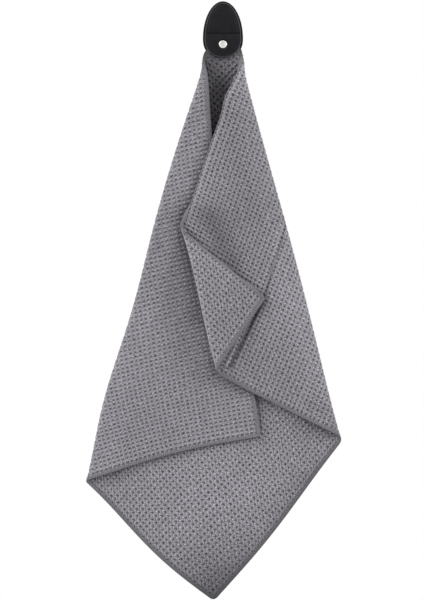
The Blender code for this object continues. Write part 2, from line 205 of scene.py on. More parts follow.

# Where the cloth hangs off the plain folds: places on the flat sheet, and how far each is drawn to the right
# and up. Set by comparing the outline with the photo's.
PULL_REACH = 95 * MM
PULLS = (
    ((220 * MM, 85 * MM), (-5.5 * MM, 0.0)),  # left fold, halfway down
    ((400 * MM, 155 * MM), (-7.5 * MM, -2.0 * MM)),  # left fold, low
    ((TOWEL_LONG, 205 * MM), (6.0 * MM, 7.5 * MM)),  # left point
    ((TOWEL_LONG, 90 * MM), (-3.5 * MM, 10.0 * MM)),  # lower edge of the left flap
    ((TOWEL_LONG, 0.0), (1.5 * MM, 2.5 * MM)),  # corner of the left flap
    ((TOWEL_LONG, 330 * MM), (-8.5 * MM, -2.5 * MM)),  # lower left edge
    ((420 * MM, TOWEL_SHORT), (6.0 * MM, 0.5 * MM)),  # lower right edge
    ((0.0, TOWEL_SHORT), (0.0, 9.0 * MM)),  # free corner
    ((0.0, 280 * MM), (7.5 * MM, 3.5 * MM)),  # top of the free corner's fold
    ((110 * MM, TOWEL_SHORT), (-3.5 * MM, -3.0 * MM)),  # foot of the free corner's fold
    ((140 * MM, 0.0), (-6.0 * MM, 0.0)),  # edge of the left flap, at the neck
    ((265 * MM, TOWEL_SHORT), (-3.0 * MM, 0.0)),  # right point
    ((TOWEL_LONG, TOWEL_SHORT), (0.0, -3.0 * MM)),  # lowest corner
)
NECK_PULL_REACH = 18 * MM
NECK_PULLS = (
    ((25 * MM, 0.0), (-4.5 * MM, 0.0)),  # left fold, as it leaves the leather
    ((0.0, 29 * MM), (5.0 * MM, 0.0)),  # right fold
    ((0.0, 88 * MM), (-3.0 * MM, 0.0)),  # right flap's edge beside the opening
)

# Where it swells towards the viewer (or sinks, below 0): place on the flat sheet, reach and height.
SWELL_START = 22 * MM  # none this near the stud
SWELL_GROWTH = 30 * MM
SWELLS = (
    ((296 * MM, 66 * MM), 42 * MM, -4.5 * MM),  # left flap, sinking under the right one
    ((235 * MM, 62 * MM), 36 * MM, -4.0 * MM),
    ((362 * MM, 58 * MM), 34 * MM, -3.5 * MM),
    ((393 * MM, 117 * MM), 60 * MM, 2.0 * MM),  # left flap, outer part
    ((60 * MM, 245 * MM), 32 * MM, -7.0 * MM),  # right flap, behind the free corner
    ((96 * MM, 274 * MM), 34 * MM, -6.0 * MM),
    ((163 * MM, 310 * MM), 45 * MM, 3.0 * MM),  # right flap, outer part
    ((41 * MM, 150 * MM), 45 * MM, 2.5 * MM),
    ((5 * MM, 395 * MM), 45 * MM, -5.0 * MM),  # free corner, leaning on the right flap
    ((40 * MM, 345 * MM), 30 * MM, 2.0 * MM),
    ((246 * MM, 2 * MM), 32 * MM, -5.0 * MM),  # left flap's edge, under the right flap
    ((425 * MM, 5 * MM), 45 * MM, -5.0 * MM),
    ((TOWEL_LONG, 60 * MM), 60 * MM, -5.2 * MM),  # left flap's lower edge, lying on the back panel
    ((TOWEL_LONG, 2 * MM), 34 * MM, -3.5 * MM),
    ((TOWEL_LONG, 138 * MM), 36 * MM, -4.2 * MM),
    ((170 * MM, TOWEL_SHORT), 46 * MM, -9.0 * MM),  # right flap's lower edge, lying on the layers behind
    ((210 * MM, TOWEL_SHORT), 32 * MM, -4.5 * MM),
    ((8 * MM, 232 * MM), 26 * MM, 3.5 * MM),  # right flap, above the free corner
    ((46 * MM, 39 * MM), 26 * MM, -9.0 * MM),  # back panel, between the flaps at the neck
    ((62 * MM, 8 * MM), 38 * MM, 13.0 * MM),  # left flap's edge at the neck
    ((10 * MM, 72 * MM), 38 * MM, 11.5 * MM),  # right flap's edge at the neck
    ((428 * MM, 346 * MM), 52 * MM, 10.0 * MM),  # back panel, above its lowest corner
    ((TOWEL_LONG, TOWEL_SHORT), 35 * MM, -2.5 * MM),
    ((340 * MM, 360 * MM), 40 * MM, -1.5 * MM),
)
# An old crease down the right flap.
DENT = ((98 * MM, 206 * MM), (112 * MM, 190 * MM), (121 * MM, 277 * MM), (116 * MM, 385 * MM))
DENT_REACH = 2.6 * MM
DENT_DEPTH = 2.4 * MM
# Painted shade: darker places on the cloth, each a line on the flat sheet, how far to its sides, how much.
# The photo is darker there than the lights and folds make the render.
PAINTED_SHADE_LINES = (
    ((26 * MM, 10 * MM), (44 * MM, 18 * MM), 16 * MM, 0.6),  # between the flaps at the neck
    ((14 * MM, 20 * MM), (28 * MM, 28 * MM), 14 * MM, 0.3),
    ((30 * MM, 240 * MM), (70 * MM, 276 * MM), 17 * MM, 0.4),  # right flap, above the free corner
    ((30 * MM, 115 * MM), (76 * MM, 190 * MM), 42 * MM, 0.15),  # right flap, upper part
    ((225 * MM, 378 * MM), (255 * MM, 394 * MM), 14 * MM, 0.2),  # right flap, at its point
    ((10 * MM, 388 * MM), (70 * MM, 392 * MM), 30 * MM, 0.1),  # free corner
    ((210 * MM, 44 * MM), (330 * MM, 50 * MM), 11 * MM, 0.3),  # left flap, along the right flap's edge
    ((490 * MM, 392 * MM), (TOWEL_LONG, TOWEL_SHORT), 38 * MM, 0.44),  # lowest corner
    ((330 * MM, TOWEL_SHORT), (TOWEL_LONG, TOWEL_SHORT), 24 * MM, 0.16),  # lower right edge
    ((280 * MM, TOWEL_SHORT), (TOWEL_LONG, TOWEL_SHORT), 7 * MM, 0.32),
    ((TOWEL_LONG, 225 * MM), (TOWEL_LONG, TOWEL_SHORT), 7 * MM, 0.28),  # lower left edge
)
# The innermost edge rolls over. Each roll: where it starts, the length it grows over, where it ends, the
# length it fades over, and how far it turns.
ROLL_LINE = 5 * MM
ROLL_RADIUS = 2 * MM
ROLLS = (
    (20 * MM, 25 * MM, 262 * MM, 30 * MM, radians(95)),  # inwards on the right flap
    (280 * MM, 25 * MM, 392 * MM, 25 * MM, radians(-70)),  # and the other way on the free corner
)


# ---------------------------------------------------------------- folding, in numpy


def smooth(x):
    x = np.clip(x, 0.0, 1.0)
    return x * x * (3 - 2 * x)


def egg(inset, turn):
    """Egg outline at a turn from the right-hand side, drawn inset from the back leaf's edge."""
    half = (LEAF_HIGH.x - LEAF_LOW.x) / 2 - inset
    rise, drop = LEAF_HIGH.z - EGG_WIDEST_Z - inset, EGG_WIDEST_Z - LEAF_LOW.z - inset
    across, up = np.cos(turn), np.sin(turn)
    power = 2 / EGG_SQUARENESS
    square = np.sign(across) * np.abs(across) ** power
    x = half * np.where(up >= 0, across, square)
    z = EGG_WIDEST_Z + np.where(up >= 0, rise * up, -drop * np.abs(up) ** power)
    return x, z


LEAST_TURN = 1e-4  # keeps an unturned fold's arc finite


class Crease:
    """A fold line in a plane. Run is the distance along it and reach the distance past it."""

    def __init__(self, first, second, folds_over, radius):
        first, second, folds_over = (np.array(p, float) for p in (first, second, folds_over))
        self.start = first
        self.along = (second - first) / np.linalg.norm(second - first)
        self.out = np.array((-self.along[1], self.along[0]))
        if (folds_over - first) @ self.out < 0:
            self.out = -self.out
        self.radius = radius

    def run_and_reach(self, points):
        away = points - self.start
        return away @ self.along, away @ self.out

    def bend(self, reach, height, turn, lift=1.0):
        """Folded reach and height of points that stand height proud of the sheet. A lift below 1 presses
        the fold flatter."""
        width = pi * self.radius
        turned = turn * np.clip((reach + width / 2) / width, 0.0, 1.0)
        past = np.maximum(reach - width / 2, 0.0)
        before = np.minimum(reach, -width / 2)
        arc = width / np.maximum(turn, LEAST_TURN)
        new_reach = before + arc * np.sin(turned) + past * np.cos(turned)
        new_height = lift * arc * (1 - np.cos(turned)) + past * np.sin(turned)
        return new_reach - height * np.sin(turned), new_height + height * np.cos(turned)


ALONG = np.array((sin(SHEET_TURN), -cos(SHEET_TURN)))
ACROSS = np.array((-ALONG[1], ALONG[0]))
HELD_CORNER = np.array((STUD_X, STUD_Z + CORNER_DROP))


def hung(points):
    """Flat sheet points as they lie in the front view when the sheet hangs unfolded."""
    points = np.asarray(points, float)
    return HELD_CORNER + points[..., :1] * ALONG + points[..., 1:2] * ACROSS


def hung_crease(ends, folds_over, radius):
    """A fold line given on the flat sheet, placed where the hung sheet has it."""
    return Crease(hung(ends[0]), hung(ends[1]), hung(folds_over), radius)


FREE_CORNER = Crease(*CORNER_CREASE, (0.0, TOWEL_SHORT), CORNER_RADIUS)
ROLL = Crease((ROLL_LINE, 0.0), (ROLL_LINE, TOWEL_SHORT), (0.0, 0.0), ROLL_RADIUS)
LEFT_FOLD = hung_crease(LEFT_CREASE, (TOWEL_LONG, 0.0), LEFT_RADIUS)
RIGHT_FOLD = hung_crease(RIGHT_CREASE, (0.0, TOWEL_SHORT), RIGHT_RADIUS)


def past_leather(places):
    """Rough distance of front-view places outside the leather's edge, below 0 inside it."""
    away = places - (STUD_X, EGG_WIDEST_Z)
    outline = np.column_stack(egg(0.0, np.linspace(-pi, pi, COARSE_OUTLINE_POINTS)))
    outline = outline - (0.0, EGG_WIDEST_Z)
    turns = np.arctan2(outline[:, 1], outline[:, 0])
    order = np.argsort(turns)
    edge = np.interp(np.arctan2(away[:, 1], away[:, 0]), turns[order], np.linalg.norm(outline, axis=1)[order])
    return np.linalg.norm(away, axis=1) - edge


def from_segment(u, v, first, second):
    """Distance on the flat sheet from a straight line between two places."""
    first, second = np.array(first), np.array(second)
    line = second - first
    away = np.stack([u, v], axis=-1) - first
    share = np.clip(away @ line / (line @ line), 0.0, 1.0)
    return np.linalg.norm(away - share[:, None] * line, axis=1)


def painted_shade(u, v):
    """How much painted shade darkens flat sheet places, from 0 to 1."""
    unshaded = np.ones(len(u))
    for first, second, reach, darkening in PAINTED_SHADE_LINES:
        unshaded = unshaded * (1 - darkening * np.exp(-((from_segment(u, v, first, second) / reach) ** 2)))
    return 1 - unshaded


def near(u, v, place, reach):
    """1 at a place on the flat sheet, fading away over a reach."""
    return np.exp(-((u - place[0]) ** 2 + (v - place[1]) ** 2) / reach**2)


def roll_edge(flat, height):
    """Flat sheet points and heights after the innermost edge has rolled over."""
    v = flat[:, 1]
    turn = np.zeros(len(v))
    for start, growth, end, fade, whole_turn in ROLLS:
        turn = turn + whole_turn * smooth((v - start) / growth) * smooth((end - v) / fade)
    side = np.where(turn < 0, -1.0, 1.0)
    _, reach = ROLL.run_and_reach(flat)
    rolled, risen = ROLL.bend(reach, side * height, side * turn)
    rolls = turn != 0
    flat = np.where(rolls[:, None], flat + (rolled - reach)[:, None] * ROLL.out, flat)
    return flat, np.where(rolls, side * risen, height)


def fold_free_corner(flat, height):
    """Flat sheet points and heights after the free corner has been turned backwards. The right side's fold
    then brings it to the front."""
    run, reach = FREE_CORNER.run_and_reach(flat)
    reach, back = FREE_CORNER.bend(reach, -height, pi)
    flat = FREE_CORNER.start + run[:, None] * FREE_CORNER.along + reach[:, None] * FREE_CORNER.out
    return flat, -back


def fold_sides(place, forward, from_stud):
    """Front-view places and heights after both sides have been turned forward over the back panel."""
    folded = smooth((from_stud - FLAT_REACH) / (FOLDED_REACH - FLAT_REACH))
    new_place, new_forward = place.copy(), forward.copy()
    for crease, narrowing, pressed in (
        (LEFT_FOLD, LEFT_NARROWING, LEFT_PRESSED),
        (RIGHT_FOLD, RIGHT_NARROWING, RIGHT_PRESSED),
    ):
        _, reach = crease.run_and_reach(place)
        over = np.maximum(reach, 0.0)
        eased = reach - over * (1 - narrowing) * folded
        lift = pressed + (1 - pressed) * smooth(reach / PRESS_REACH)
        bent_reach, bent_forward = crease.bend(eased, forward, pi * folded, lift)
        taken = (reach > -pi * crease.radius / 2) & (folded > 0)
        step = (bent_reach - reach)[:, None] * crease.out
        step = step - (over * FLAP_SHEAR * folded)[:, None] * crease.along
        new_place[taken] += step[taken]
        new_forward[taken] = bent_forward[taken]
    return new_place, new_forward


def swelling(u, v, from_stud):
    """How far the cloth stands forward of its plain folds."""
    hanging = smooth((from_stud - SWELL_START) / SWELL_GROWTH)
    forward = np.zeros(len(u))
    for place, reach, rise in SWELLS:
        forward = forward + rise * near(u, v, place, reach) * hanging
    from_dent = np.min([from_segment(u, v, *ends) for ends in zip(DENT, DENT[1:])], axis=0)
    return forward - DENT_DEPTH * np.exp(-((from_dent / DENT_REACH) ** 2))


def fold(u, v, height):
    """World places of flat sheet points that stand height proud towards the viewer."""
    flat, height = roll_edge(np.stack([u, v], axis=-1), height)
    flat, forward = fold_free_corner(flat, height)
    place = hung(flat)
    from_stud = np.linalg.norm(place - (STUD_X, STUD_Z), axis=1)
    place, forward = fold_sides(place, forward, from_stud)
    forward = forward + swelling(u, v, from_stud)
    opened = smooth(OPENED_AT_EDGE + past_leather(place) / OPENING)
    forward = forward * (PINCHED + (1 - PINCHED) * opened)
    for pulls, reach in ((PULLS, PULL_REACH), (NECK_PULLS, NECK_PULL_REACH)):
        for spot, pull in pulls:
            place = place + near(u, v, spot, reach)[:, None] * pull
    return np.stack([place[:, 0], -(CLOTH_MIDDLE + forward), place[:, 1]], axis=1)


# ---------------------------------------------------------------- mesh helpers


def new_mesh(name, points, quads):
    mesh = bpy.data.meshes.new(name)
    mesh.vertices.add(len(points))
    mesh.vertices.foreach_set("co", np.asarray(points, np.float32).ravel())
    quads = np.asarray(quads, np.int32)
    mesh.loops.add(quads.size)
    mesh.loops.foreach_set("vertex_index", quads.ravel())
    mesh.polygons.add(len(quads))
    mesh.polygons.foreach_set("loop_start", np.arange(len(quads), dtype=np.int32) * quads.shape[1])
    mesh.update(calc_edges=True)
    mesh.validate()
    mesh.shade_smooth()
    obj = bpy.data.objects.new(name, mesh)
    bpy.context.scene.collection.objects.link(obj)
    return obj


def set_sheet_uv(obj, uv):
    """One UV per vertex: the sheet's own flat coordinates in metres, for the weave."""
    layer = obj.data.uv_layers.new(name="sheet")
    corners = np.empty(len(obj.data.loops), np.int32)
    obj.data.loops.foreach_get("vertex_index", corners)
    layer.data.foreach_set("uv", np.asarray(uv, np.float32)[corners].ravel())


def set_number(obj, name, values):
    """One number per vertex, for a material to read."""
    made = obj.data.attributes.new(name, "FLOAT", "POINT")
    made.data.foreach_set("value", np.asarray(values, np.float32))


def grid_quads(rows, columns, first=0):
    index = first + np.arange(rows * columns).reshape(rows, columns)
    corners = (index[:-1, :-1], index[1:, :-1], index[1:, 1:], index[:-1, 1:])
    return np.stack([c.ravel() for c in corners], axis=1)


def shell_quads(rows, columns):
    """Faces of a closed shell whose points are a grid in front and then the same grid behind."""
    count = rows * columns
    index = np.arange(count).reshape(rows, columns)
    rim = np.concatenate([index[:, 0], index[-1, 1:], index[-2::-1, -1], index[0, -2:0:-1]])
    after = np.roll(rim, -1)
    wall = np.stack([rim, rim + count, after + count, after], axis=1)
    return np.concatenate([grid_quads(rows, columns), grid_quads(rows, columns, count)[:, ::-1], wall])


def tube_quads(rings, around, first=0):
    """Faces of an open tube of rings, each of the same number of points."""
    index = first + np.arange(rings * around).reshape(rings, around)
    ahead = np.roll(index, -1, axis=1)
    corners = (index[:-1], ahead[:-1], ahead[1:], index[1:])
    return np.stack([c.ravel() for c in corners], axis=1)


def end_quads(ring):
    """Faces that close a ring of an even number of points, from one side of it to the other."""
    half = len(ring) // 2
    return np.array([(ring[k], ring[k + 1], ring[-k - 2], ring[-k - 1]) for k in range(half - 1)])


def closed_tube_quads(rings, around, first=0):
    """Faces of a tube of rings, closed at both ends."""
    near_end = first + np.arange(around)
    far_end = near_end + (rings - 1) * around
    sides = tube_quads(rings, around, first)
    return np.concatenate([sides, end_quads(near_end[::-1]), end_quads(far_end)])


def circle(count):
    """Turns of evenly spread points round a circle."""
    return 2 * pi * np.arange(count) / count


# ---------------------------------------------------------------- cloth


def uneven_weave(u, v):
    """Flat sheet places, moved the way that slanting pits and uneven yarns pull the weave about."""
    (first_u, first_v), (second_u, second_v) = UNEVEN_STEPS
    first = np.sin(2 * pi * (u / first_u + v / first_v))
    second = np.sin(2 * pi * (u / second_u + v / second_v) + UNEVEN_SHIFT)
    slanted = PIT_SLANT * np.sin(2 * pi * v / SHORT_PITCH)
    return u + UNEVEN * (first + second) + slanted, v + UNEVEN * (first - second)


def ridges(u, v, shift):
    """1 on the waffle's ridges and 0 in its pits."""
    across = 0.5 + 0.5 * np.cos(2 * pi * (u / LONG_PITCH + shift))
    along = 0.5 + 0.5 * np.cos(2 * pi * (v / SHORT_PITCH + shift))
    return 1 - ((1 - across) * (1 - along)) ** PIT_SHARPNESS


def sheet_lines(length, pitch):
    """Mesh lines that keep step with the weave, with one at each raw edge of the cloth."""
    lines = np.arange(0.0, length, pitch / CELL_STEPS)
    lines = lines[(lines > CLOTH_INSET) & (lines < length - CLOTH_INSET)]
    return np.concatenate([[CLOTH_INSET], lines, [length - CLOTH_INSET]])


def make_cloth():
    lines_u = sheet_lines(TOWEL_LONG, LONG_PITCH)
    lines_v = sheet_lines(TOWEL_SHORT, SHORT_PITCH)
    u, v = (a.ravel() for a in np.meshgrid(lines_u, lines_v, indexing="ij"))
    weave_u, weave_v = uneven_weave(u, v)
    front, back = ridges(weave_u, weave_v, 0.0), ridges(weave_u, weave_v, 0.5)
    rim = np.minimum(np.minimum(u, TOWEL_LONG - u), np.minimum(v, TOWEL_SHORT - v))
    full = smooth((rim - EDGE_FLAT) / EDGE_GROWTH)
    high = (-WEB_HALF + RIDGE_HEIGHT * front) * full + EDGE_HALF * (1 - full)
    low = (WEB_HALF - RIDGE_HEIGHT * back) * full - EDGE_HALF * (1 - full)
    points = np.concatenate([fold(u, v, high), fold(u, v, low)])
    obj = new_mesh("towel_waffle_cloth", points, shell_quads(len(lines_u), len(lines_v)))
    # Painted shade, from the table of darker places.
    set_number(obj, "painted_shade", np.tile(painted_shade(u, v), 2))
    # The weave behind stands half a cell off the one in front, and so does its UV.
    weave_u = np.concatenate([weave_u, weave_u + LONG_PITCH / 2])
    weave_v = np.concatenate([weave_v, weave_v + SHORT_PITCH / 2])
    set_sheet_uv(obj, np.stack([weave_u, weave_v], axis=1))
    return obj


# ---------------------------------------------------------------- edge bands


def band_path(side, step):
    """Centre-line points of one edge's band, from the middle of one corner to the next, with the
    inward direction at each. Side 0 runs from the held corner along the long edge."""
    sizes = (TOWEL_LONG, TOWEL_SHORT)
    middle = BAND_WIDTH / 2
    low, high = middle + BAND_CORNER, np.array(sizes) - middle - BAND_CORNER
    centres = [(low, low), (high[0], low), (high[0], high[1]), (low, high[1])]
    arcs = []
    for corner in (side, side + 1):
        centre = centres[corner % 4]
        angle = pi + corner * pi / 2
        span = np.linspace(0, pi / 4, BAND_ARC_POINTS)
        turns = angle + pi / 4 + span if corner == side else angle + span
        arcs.append([(centre, t) for t in turns])
    points, inward = [], []
    for n, arc in enumerate(arcs):
        at = [np.array(c) + BAND_CORNER * np.array((cos(t), sin(t))) for c, t in arc]
        facing = [-np.array((cos(t), sin(t))) for c, t in arc]
        if n == 1:
            first, last = points[-1], at[0]
            count = max(int(np.linalg.norm(last - first) / step), 2)
            for k in range(1, count):
                points.append(first + (last - first) * k / count)
                inward.append(inward[-1])
        points += at
        inward += facing
    return np.array(points), np.array(inward)


def make_band(name, side):
    """The overlocked thread band that wraps one raw edge of the towel."""
    path, inward = band_path(side, BAND_STEP)
    along = np.concatenate([[0], np.cumsum(np.linalg.norm(np.diff(path, axis=0), axis=1))])
    turns = circle(BAND_POINTS)
    across = np.sign(np.cos(turns)) * np.abs(np.cos(turns)) ** BAND_SQUARENESS * BAND_WIDTH / 2
    height = np.sign(np.sin(turns)) * np.abs(np.sin(turns)) ** BAND_SQUARENESS * BAND_HALF
    wrap = 1 + WRAP_SWELL * np.cos(2 * pi * along / WRAP_PITCH)
    flat = (path[:, None, :] + inward[:, None, :] * across[None, :, None]).reshape(-1, 2)
    points = fold(flat[:, 0], flat[:, 1], (wrap[:, None] * height[None, :]).ravel())
    obj = new_mesh(name, points, closed_tube_quads(len(path), BAND_POINTS))
    set_sheet_uv(obj, np.stack([np.repeat(along, BAND_POINTS), np.tile(across, len(path))], axis=1))
    # Painted shade, from the table of darker places.
    set_number(obj, "painted_shade", painted_shade(flat[:, 0], flat[:, 1]))
    return obj


def stitch_points(middle, ahead, face):
    """A short fat thread lying along the sheet, on its front (1) or back (-1) face."""
    beside = np.array((-ahead[1], ahead[0]))
    turns = circle(STITCH_POINTS)
    rings = []
    for share in np.linspace(-1, 1, STITCH_RINGS):
        girth = STITCH_RADIUS * max(cos(share * STITCH_TAPER), STITCH_END)
        spot = middle + ahead * (share * STITCH_LENGTH / 2)
        flat = spot + np.outer(np.cos(turns) * girth, beside)
        height = face * BAND_HALF * STITCH_SEAT + np.sin(turns) * girth
        rings.append(np.column_stack([flat, height]))
    return np.concatenate(rings)


def make_stitches(name, side):
    """A row of short stitches on both faces, just inside the band."""
    path, inward = band_path(side, STITCH_PITCH)
    line = path + inward * (BAND_WIDTH / 2 - STITCH_RADIUS)
    points, quads = [], []
    for k in range(STITCHES_SKIPPED, len(line) - STITCHES_SKIPPED):
        ahead = line[k + 1] - line[k - 1]
        ahead = ahead / np.linalg.norm(ahead)
        for face in (1, -1):
            first = len(points) * STITCH_RINGS * STITCH_POINTS
            points.append(stitch_points(line[k], ahead, face))
            quads.append(closed_tube_quads(STITCH_RINGS, STITCH_POINTS, first))
    flat = np.concatenate(points)
    obj = new_mesh(name, fold(flat[:, 0], flat[:, 1], flat[:, 2]), np.concatenate(quads))
    set_sheet_uv(obj, flat[:, :2])
    # Painted shade, from the table of darker places.
    set_number(obj, "painted_shade", painted_shade(flat[:, 0], flat[:, 1]))
    return obj


# ---------------------------------------------------------------- leather and snap


def round_off(distance, radius):
    """How far a rounded edge falls away, at a distance in from it."""
    inside = np.clip(distance / radius, 0.0, 1.0)
    return radius * (1 - np.sqrt(np.maximum(1 - (1 - inside) ** 2, 0.0)))


def clean(obj):
    """Merges the points that fall together at a pole and turns every face outwards."""
    shell = bmesh.new()
    shell.from_mesh(obj.data)
    bmesh.ops.remove_doubles(shell, verts=shell.verts, dist=WELD)
    bmesh.ops.recalc_face_normals(shell, faces=shell.faces)
    shell.to_mesh(obj.data)
    shell.free()
    obj.data.shade_smooth()


def leaf_face(x, z, from_rim, from_crease, front):
    """Depth of a leather leaf's front: rounded edges, a padded swell, the rim's line and the cap's seat."""
    y = front + round_off(from_rim, RIM_ROUND) + round_off(from_crease, CREASE_ROUND)
    y = y - PAD_RISE * smooth(from_rim / PAD_FROM_RIM) * smooth(from_crease / PAD_FROM_CREASE)
    y = y + RIM_LINE_DEPTH * np.exp(-(((from_rim - RIM_LINE) / RIM_LINE_WIDTH) ** 2))
    from_snap = np.hypot(x - CAP_X, z - CAP_Z)
    return y + SEAT_DEPTH * (1 - smooth((from_snap - CAP_RADIUS + SEAT_OVERLAP) / SEAT_SLOPE))


def make_leaf(name, upper, front, back, skirt_back):
    """One half of the front leaf, above or below the crease. A skirt along its rim can reach further back."""
    crease = CREASE_Z + (CREASE_GAP / 2 if upper else -CREASE_GAP / 2)
    outline = np.column_stack(egg(FRONT_INSET, np.linspace(0, 2 * pi, OUTLINE_POINTS)))
    end = outline[:, 1].max() if upper else outline[:, 1].min()
    heights = crease + (end - crease) * np.sin(np.linspace(0, pi / 2, LEAF_GRID))
    right = outline[outline[:, 0] >= 0]
    order = np.argsort(right[:, 1])
    widths = np.interp(heights, right[order, 1], right[order, 0])
    spread = np.sin(np.linspace(-pi / 2, pi / 2, LEAF_GRID))
    x = (widths[:, None] * spread[None, :]).ravel()
    z = np.repeat(heights, LEAF_GRID)
    gap = np.full(len(x), np.inf)
    for outline_x, outline_z in outline[::4]:
        gap = np.minimum(gap, (x - outline_x) ** 2 + (z - outline_z) ** 2)
    at_side = np.tile(np.arange(LEAF_GRID) % (LEAF_GRID - 1) == 0, LEAF_GRID)
    from_rim = np.where(at_side, 0.0, np.sqrt(gap))
    y = leaf_face(x, z, from_rim, np.abs(z - crease), front)
    depth = np.full(len(x), back)
    if skirt_back is not None:
        depth = np.where(from_rim < SKIRT_WIDTH, skirt_back, back)
    points = np.concatenate([np.column_stack([x, y, z]), np.column_stack([x, depth, z])])
    obj = new_mesh(name, points, shell_quads(LEAF_GRID, LEAF_GRID))
    # A painted highlight along the rim's rounded edge, on the front face only.
    painted_rim_highlight = np.exp(-(((from_rim - RIM_HIGHLIGHT_LINE) / RIM_HIGHLIGHT_WIDTH) ** 2))
    set_number(obj, "painted_rim_highlight", np.concatenate([painted_rim_highlight, np.zeros(len(x))]))
    clean(obj)
    return obj


def make_cap():
    """The snap's pressed cap."""
    turns = circle(CAP_POINTS)
    points = []
    for share, depth in CAP_PROFILE:
        ring = max(share * CAP_RADIUS, CAP_POLE)
        across, up = CAP_X + ring * np.cos(turns), CAP_Z + ring * np.sin(turns)
        points.append(np.column_stack([across, np.full(CAP_POINTS, CAP_LOW.y + depth), up]))
    obj = new_mesh("domed_snap_cap", np.concatenate(points), tube_quads(len(CAP_PROFILE), CAP_POINTS))
    clean(obj)
    smoother = obj.modifiers.new("smooth_profile", "SUBSURF")
    smoother.levels = smoother.render_levels = 1
    return obj


# ---------------------------------------------------------------- node material helpers


def node_material(name):
    made = bpy.data.materials.new(name)
    made.use_nodes = True
    return made, made.node_tree, made.node_tree.nodes["Principled BSDF"]


def add_node(tree, kind, **settings):
    node = tree.nodes.new(kind)
    for key, value in settings.items():
        setattr(node, key, value)
    return node


def colour_ramp(tree, factor, stops):
    ramp = add_node(tree, "ShaderNodeValToRGB")
    elements = ramp.color_ramp.elements
    while len(elements) < len(stops):
        elements.new(0.5)
    for element, (place, colour) in zip(elements, stops):
        element.position = place
        element.color = (*colour, 1)
    tree.links.new(factor, ramp.inputs["Fac"])
    return ramp.outputs["Color"]


def noise(tree, coordinates, scale, detail=3.0, roughness=0.55):
    node = add_node(tree, "ShaderNodeTexNoise")
    node.inputs["Scale"].default_value = scale
    node.inputs["Detail"].default_value = detail
    node.inputs["Roughness"].default_value = roughness
    tree.links.new(coordinates, node.inputs["Vector"])
    return node.outputs["Fac"]


def mix_colour(tree, factor, first, second, blend="MIX"):
    node = add_node(tree, "ShaderNodeMix", data_type="RGBA", blend_type=blend)
    for socket, value in ((node.inputs["Factor"], factor), (node.inputs[6], first), (node.inputs[7], second)):
        if hasattr(value, "is_output"):
            tree.links.new(value, socket)
        elif isinstance(value, tuple):
            socket.default_value = (*value, 1)
        else:
            socket.default_value = value
    return node.outputs[2]


def maths(tree, operation, *values):
    node = add_node(tree, "ShaderNodeMath", operation=operation)
    for socket, value in zip(node.inputs, values):
        if hasattr(value, "is_output"):
            tree.links.new(value, socket)
        else:
            socket.default_value = value
    return node.outputs["Value"]


def wave(tree, coordinate, pitch):
    """1 on a ridge and 0 halfway between two."""
    turns = maths(tree, "MULTIPLY", coordinate, 2 * pi / pitch)
    return maths(tree, "MULTIPLY_ADD", maths(tree, "COSINE", turns), 0.5, 0.5)


def sheet_place(tree):
    """The sheet's own flat coordinates."""
    return add_node(tree, "ShaderNodeUVMap", uv_map="sheet").outputs["UV"]


def object_place(tree):
    return add_node(tree, "ShaderNodeTexCoord").outputs["Object"]


def painted(tree, name):
    """A number kept at each point of the mesh."""
    return add_node(tree, "ShaderNodeAttribute", attribute_name=name).outputs["Fac"]


def split_xyz(tree, vector):
    node = add_node(tree, "ShaderNodeSeparateXYZ")
    tree.links.new(vector, node.inputs["Vector"])
    return node.outputs


def bump(tree, height, strength, distance, under=None):
    node = add_node(tree, "ShaderNodeBump")
    node.inputs["Strength"].default_value = strength
    node.inputs["Distance"].default_value = distance
    tree.links.new(height, node.inputs["Height"])
    if under is not None:
        tree.links.new(under, node.inputs["Normal"])
    return node.outputs["Normal"]


# ---------------------------------------------------------------- materials

WHITE = (1.0, 1.0, 1.0)
# In the pits, with their painted shade; on average; and on the yarns that float over them, with their painted
# light.
PILE = ((0.04, 0.038, 0.043), (0.192, 0.182, 0.203), (0.45, 0.43, 0.474))
PAINTED_SHADE_COLOUR = (0.008, 0.008, 0.009)
THREAD_DARK, THREAD_LIGHT = (0.06, 0.057, 0.063), (0.23, 0.22, 0.242)
LEATHER_DARK, LEATHER_LIGHT = (0.004, 0.0038, 0.0055), (0.008, 0.0076, 0.0105)
# Painted highlight on the leather's rounded rim.
LEATHER_RIM_HIGHLIGHT = (0.07, 0.069, 0.074)
FOAM_DARK, FOAM_LIGHT = (0.012, 0.012, 0.013), (0.03, 0.03, 0.032)
# Painted shade in deep folds: how far the ambient occlusion looks, and the tone it darkens the colour to.
HOLLOW_REACH = 60 * MM
HOLLOW_SHADE_TONE = (0.42, 0.42, 0.425)
# The first two are painted shade in the pits and painted light on the floating yarns.
PIT_SHADE, FLOAT_HIGHLIGHT, STROKE_LIFT, SPECK_LIFT = 0.75, 0.42, 0.34, 0.75  # what each adds to the weave's tone


def shaded_hollows(tree, base):
    """Painted shade in the base colour: darker along the lines of painted shade, and in deep folds by ambient
    occlusion.
    """
    # Painted shade along the listed lines of darker places.
    base = mix_colour(tree, painted(tree, "painted_shade"), base, PAINTED_SHADE_COLOUR)
    # Painted shade in deep folds, from ambient occlusion.
    hollow = add_node(tree, "ShaderNodeAmbientOcclusion")
    hollow.samples = 8
    hollow.inputs["Distance"].default_value = HOLLOW_REACH
    shadow = colour_ramp(tree, hollow.outputs["AO"], [(0.36, HOLLOW_SHADE_TONE), (0.8, WHITE)])
    return mix_colour(tree, 1.0, base, shadow, "MULTIPLY")


def strayed_place(tree, sheet):
    """Flat coordinates that wander a little from yarn to yarn."""
    wander = add_node(tree, "ShaderNodeTexNoise")
    wander.inputs["Scale"].default_value = 420.0
    wander.inputs["Detail"].default_value = 2.0
    tree.links.new(sheet, wander.inputs["Vector"])
    strayed = add_node(tree, "ShaderNodeVectorMath", operation="MULTIPLY_ADD")
    tree.links.new(wander.outputs["Color"], strayed.inputs[0])
    strayed.inputs[1].default_value = (YARN_STRAY, YARN_STRAY, 0.0)
    tree.links.new(sheet, strayed.inputs[2])
    return split_xyz(tree, strayed.outputs["Vector"])


